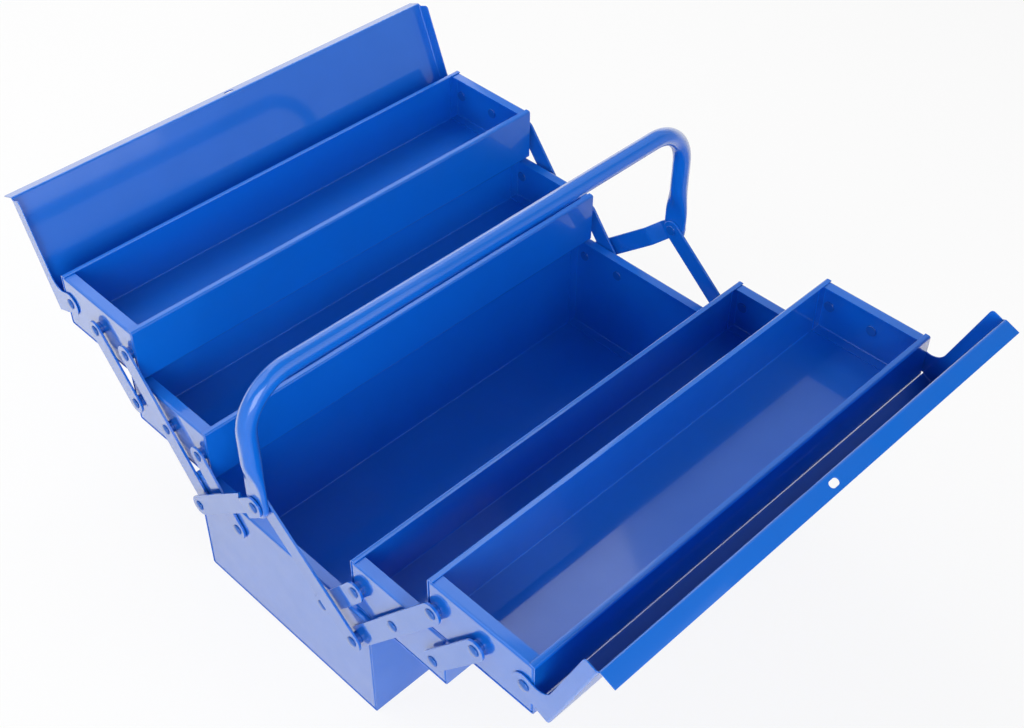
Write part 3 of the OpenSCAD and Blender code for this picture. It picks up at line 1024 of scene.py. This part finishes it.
class TOOLBOX_OT_rivets(bpy.types.Operator):
    """Makes the rivets, their shoulders and the links' spacers"""

    bl_idname = "toolbox.rivets"
    bl_label = "Rivets"

    def turned(self, name, profile):
        """A turned piece about the X axis, from (x, radius) points that end on the axis or close a ring."""
        piece = dot(name, (profile[0][0], 0, profile[0][1]))
        for (x0, r0), (x1, r1) in zip(profile, profile[1:]):
            extrude((x1 - x0, 0, r1 - r0))
        select_everything()
        sweep(2 * math.pi, (0, 0, 0), ALONG, RIVET_SIDES)
        weld(TOUCH / 2)
        face_outwards()
        bpy.ops.object.mode_set(mode="OBJECT")
        bpy.ops.object.shade_smooth_by_angle(angle=SHARP_RIVET)
        return piece

    def rivet(self, rivet, tail_x, shoulder_x, head_x):
        """A rivet along X: a flat tail, a shoulder if it has one, a shank and a domed head."""
        shank, head, start_x = rivet.shank / 2, rivet.head / 2, tail_x - rivet.tail
        profile = [(start_x, 0), (start_x, head - SOFT_RIM), (start_x + SOFT_RIM, head)]
        profile += [(tail_x, head), (tail_x, shank)]
        if shoulder_x:
            profile += self.collar(*shoulder_x, rivet.shoulder / 2, shank)
        profile += [(head_x, shank), (head_x, head - SOFT_RIM)]
        for step in range(DOME_STEPS + 1):
            turn = QUARTER * step / DOME_STEPS
            x = head_x + DOME_BRIM + (rivet.dome - DOME_BRIM) * math.sin(turn)
            profile.append((x, head * math.cos(turn)))
        return self.turned("rivet", profile)

    def collar(self, x_low, x_high, wide, bore):
        """The profile of a shoulder or spacer with softened rims."""
        return [
            (x_low, bore), (x_low, wide - SOFT_RIM), (x_low + SOFT_RIM, wide),
            (x_high - SOFT_RIM, wide), (x_high, wide - SOFT_RIM), (x_high, bore),
        ]

    def set_on(self, node, model, points):
        """Copies a rivet made for the far end to each point at both ends, as one piece."""
        pieces = []
        for point in points:
            spot = Matrix.Translation((0, point.y, point.z))
            pieces.append(copy_to(model, "rivet_far", spot))
            pieces.append(copy_to(model, "rivet_near", spot @ HALF_TURN))
        bpy.data.objects.remove(model, do_unlink=True)
        piece = join(node + "_set", pieces)
        fit_out(piece, node, "rivet_paint")

    def execute(self, context):
        rivet = context.scene.tool_box_rivet
        sheet = context.scene.tool_box_sheet
        arm_low, arm_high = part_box("long_arm_left_far")
        link_low, link_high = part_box("link_right_far")
        base_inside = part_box("base_end_far")[1].x - sheet.thickness
        tray_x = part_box("lower_left_end_far")[1].x
        tray_inside = tray_x - sheet.thickness
        arm_head, link_head, outer_head, lid_head = (
            high_x + rivet.play
            for high_x in (arm_high.x, link_high.x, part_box("link_left_far")[1].x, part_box("lid_left")[1].x)
        )
        for side, y in SIDES.items():
            for tray, names in (
                ("lower", ("lower_inner", "lower_mid", "lower_outer")),
                ("upper", ("upper_inner", "upper_mid")),
            ):
                model = self.rivet(rivet, tray_inside, (tray_x, arm_low.x - rivet.play), arm_head)
                self.set_on(f"{tray}_{side}_rivets", model, side_points(y, *names))
            model = self.rivet(rivet, tray_inside, None, lid_head)
            self.set_on(f"lid_{side}_rivets", model, side_points(y, "lid"))
        self.set_on("base_rivets", self.rivet(rivet, base_inside, None, arm_head), paired_points("base_inner"))
        self.set_on("link_rivets", self.rivet(rivet, base_inside, None, link_head), paired_points("base_outer"))
        model = self.rivet(rivet, link_low.x - rivet.play, None, outer_head)
        self.set_on("handle_rivets", model, [pivot("handle_tilt")])
        ring = self.collar(arm_head, link_low.x - rivet.play, rivet.shoulder / 2, bore_radius())
        self.set_on("link_spacers", self.turned("spacer", ring + ring[:1]), paired_points("base_outer"))
        return {"FINISHED"}


# ------------------------------------------------------------------ stage


class TOOLBOX_OT_stage(bpy.types.Operator):
    """Sets up the pale floor, the soft lamps, the even sky and the camera"""

    bl_idname = "toolbox.stage"
    bl_label = "Stage"

    def execute(self, context):
        stage = context.scene.tool_box_stage
        self.lay_floor(stage)
        for lamp in ("key", "front", "side", "back", "far"):
            self.hang_lamp(lamp + "_lamp", getattr(stage, lamp + "_place"), getattr(stage, lamp), stage.lamp_size)
        self.light_sky(context.scene, stage)
        self.set_camera(context.scene, stage)
        context.scene.view_settings.view_transform = "Standard"
        return {"FINISHED"}

    def lay_floor(self, stage):
        """A matt floor that the camera and the gloss see as nearly white."""
        start_clean()
        bpy.ops.mesh.primitive_plane_add(size=stage.floor_size)
        floor = name_new("floor")
        material = bpy.data.materials.new("pale_floor")
        material.use_nodes = True
        tree = material.node_tree
        tree.nodes.clear()
        matt = add(tree, "BsdfDiffuse", values={"Color": (*stage.floor, 1)})
        white = add(tree, "Emission", values={"Color": WHITE, "Strength": 1})
        rays = add(tree, "LightPath").outputs
        spot = add(tree, "TexCoord").outputs["Object"]
        away = add(tree, "VectorMath", {"operation": "LENGTH"}, {0: spot}).outputs["Value"]
        mirrored = remap(tree, away, FLOOR_GLOSS_REACH, (stage.floor_gloss, 1))
        through = reckon(tree, "MAXIMUM", rays["Is Glossy Ray"], rays["Is Transmission Ray"])
        reflected = reckon(tree, "MULTIPLY", through, mirrored)
        direct = reckon(tree, "MULTIPLY", rays["Is Camera Ray"], stage.floor_glow)
        share = reckon(tree, "ADD", reflected, direct)
        mixed = add(tree, "MixShader", links={0: share, 1: matt.outputs[0], 2: white.outputs[0]})
        output = add(tree, "OutputMaterial")
        tree.links.new(mixed.outputs[0], output.inputs["Surface"])
        floor.data.materials.append(material)

    def hang_lamp(self, name, spot, watts, size):
        """A soft square lamp that faces the box."""
        start_clean()
        bpy.ops.object.light_add(type="AREA", location=spot)
        lamp = bpy.context.object
        lamp.name = name
        lamp.data.energy = watts
        lamp.data.size = size
        lamp.rotation_euler = (-Vector(spot)).to_track_quat("-Z", "Y").to_euler()

    def light_sky(self, scene, stage):
        """An even sky, white behind the box and darker overhead in the gloss."""
        world = bpy.data.worlds.new("even_sky")
        scene.world = world
        world.use_nodes = True
        tree = world.node_tree
        tree.nodes.clear()
        rays = add(tree, "LightPath").outputs
        glossy = reckon(tree, "MAXIMUM", rays["Is Camera Ray"], rays["Is Glossy Ray"])
        seen = reckon(tree, "MAXIMUM", glossy, rays["Is Transmission Ray"])
        way = add(tree, "SeparateXYZ", links={"Vector": add(tree, "TexCoord").outputs["Generated"]})
        backdrop = remap(tree, way.outputs["Z"], BACKDROP_TOP, (1, stage.ceiling))
        strength = add(tree, "MapRange", links={"Value": seen, "To Max": backdrop}, values={"To Min": stage.sky})
        sky = add(tree, "Background", links={"Strength": strength.outputs["Result"]}, values={"Color": WHITE})
        output = add(tree, "OutputWorld")
        tree.links.new(sky.outputs[0], output.inputs["Surface"])

    def set_camera(self, scene, stage):
        """A camera that looks down on the open box from its near end."""
        start_clean()
        bpy.ops.object.camera_add(location=stage.camera)
        camera = bpy.context.object
        camera.name = "camera"
        camera.data.lens = stage.lens
        camera.data.sensor_width = FILM_WIDTH
        view = (Vector(stage.target) - Vector(stage.camera)).to_track_quat("-Z", "Y")
        camera.rotation_euler = (view.to_matrix() @ Matrix.Rotation(stage.roll, 3, "Z")).to_euler()
        scene.camera = camera


# ------------------------------------------------------------------ panel and registration


class TOOLBOX_PT_build(bpy.types.Panel):
    """Lists the steps that build the tool box and its settings"""

    bl_idname = "TOOLBOX_PT_build"
    bl_label = "Cantilever Tool Box"
    bl_space_type = "VIEW_3D"
    bl_region_type = "UI"
    bl_category = "Tool Box"

    def draw(self, context):
        for operator in OPERATORS:
            self.layout.operator(operator.bl_idname)
        for name, group in SETTINGS.items():
            box = self.layout.box()
            box.label(text=group.__doc__)
            for setting in group.__annotations__:
                box.prop(getattr(context.scene, name), setting)


SETTINGS = {
    "tool_box_sheet": SheetSettings,
    "tool_box_lid": LidSettings,
    "tool_box_strap": StrapSettings,
    "tool_box_rivet": RivetSettings,
    "tool_box_handle": HandleSettings,
    "tool_box_enamel": EnamelSettings,
    "tool_box_stage": StageSettings,
}
OPERATORS = (
    TOOLBOX_OT_stage,
    TOOLBOX_OT_channels,
    TOOLBOX_OT_end_plates,
    TOOLBOX_OT_lids,
    TOOLBOX_OT_arms,
    TOOLBOX_OT_links,
    TOOLBOX_OT_handle,
    TOOLBOX_OT_rivets,
)


def register():
    """Registers the settings, the steps that build the tool box and their panel."""
    for group in SETTINGS.values():
        bpy.utils.register_class(group)
    for operator in OPERATORS:
        bpy.utils.register_class(operator)
    bpy.utils.register_class(TOOLBOX_PT_build)
    for name, group in SETTINGS.items():
        setattr(bpy.types.Scene, name, PointerProperty(type=group))


def unregister():
    """Takes back what register does."""
    for name in SETTINGS:
        delattr(bpy.types.Scene, name)
    bpy.utils.unregister_class(TOOLBOX_PT_build)
    for operator in reversed(OPERATORS):
        bpy.utils.unregister_class(operator)
    for group in reversed(SETTINGS.values()):
        bpy.utils.unregister_class(group)


def main():
    """Builds the tool box."""
    register()
    bpy.ops.toolbox.stage()
    bpy.ops.toolbox.channels()
    bpy.ops.toolbox.end_plates()
    bpy.ops.toolbox.lids()
    bpy.ops.toolbox.arms()
    bpy.ops.toolbox.links()
    bpy.ops.toolbox.handle()
    bpy.ops.toolbox.rivets()


if __name__ == "__main__":
    main()
